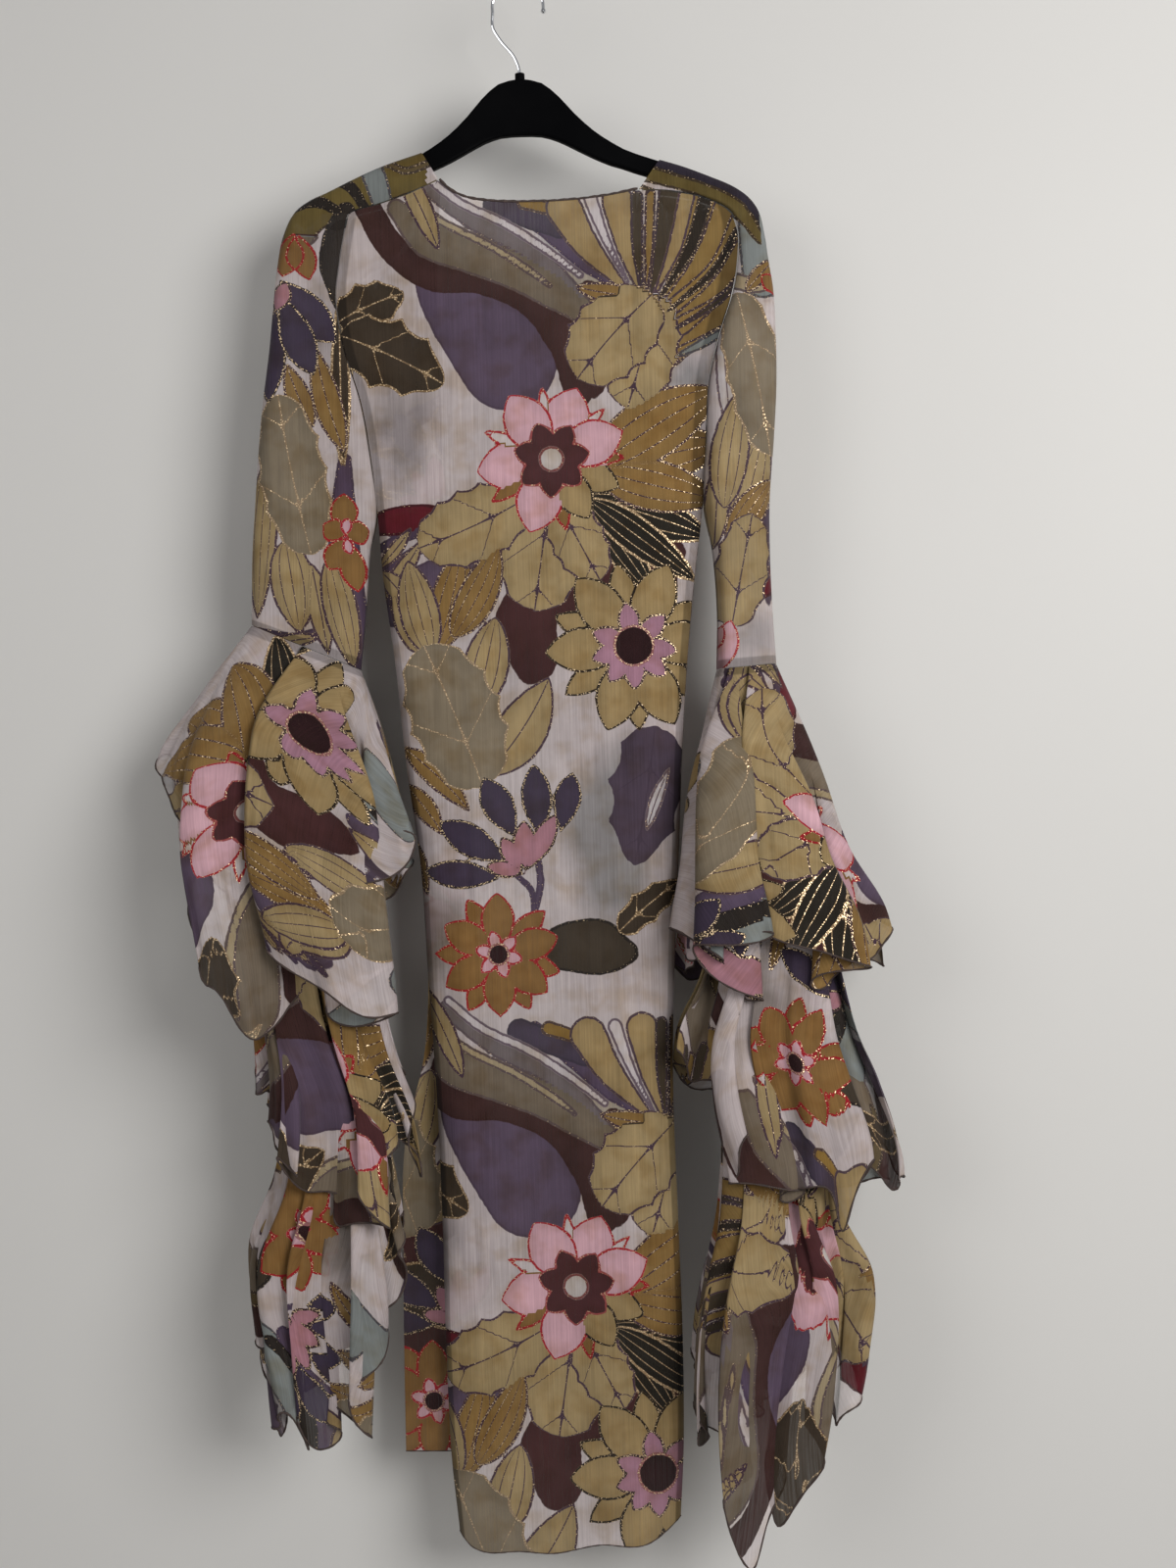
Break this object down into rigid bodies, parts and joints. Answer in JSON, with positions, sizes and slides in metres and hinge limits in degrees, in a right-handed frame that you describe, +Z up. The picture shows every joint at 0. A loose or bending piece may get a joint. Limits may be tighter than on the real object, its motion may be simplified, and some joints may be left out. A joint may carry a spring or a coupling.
{
  "type": "sheer open-front jacket on a clothes hanger",
  "caption": "Long sheer printed jacket with an open front, saddle sleeves and tiered flounces from the elbow, hanging on a plastic hanger with a wire hook.",
  "frame": {"origin": "inside of the hook's top, where a rail or wall hook carries the hanger", "axes": "+Z up; +X to the right seen from behind the garment; the back faces -Y and the open fronts face +Y"},
  "size_m": [0.6958, 0.13, 1.5328],
  "materials": {
    "hanger_plastic": "black moulded plastic with a fine satin grain",
    "hook_chrome": "bright plated wire",
    "body_chiffon": "sheer crinkled chiffon with a large floral print and metallic outlines",
    "sleeve_chiffon": "sheer crinkled chiffon with a large floral print and metallic outlines",
    "flounce_chiffon": "sheer chiffon cut on the bias, printed, with a dark overlocked edge",
    "neck_binding": "narrow dark stitched edge"
  },
  "bodies": {
    "root": {"hanger_body": "hanger_plastic", "hanger_hook": "hook_chrome", "back": "body_chiffon", "front_left": "body_chiffon", "front_right": "body_chiffon", "neck_binding": "neck_binding", "sleeve_left": "sleeve_chiffon", "sleeve_right": "sleeve_chiffon", "flounce_left_1": "flounce_chiffon", "flounce_left_2": "flounce_chiffon", "flounce_left_3": "flounce_chiffon", "flounce_right_1": "flounce_chiffon", "flounce_right_2": "flounce_chiffon", "flounce_right_3": "flounce_chiffon"}
  },
  "joints": []
}
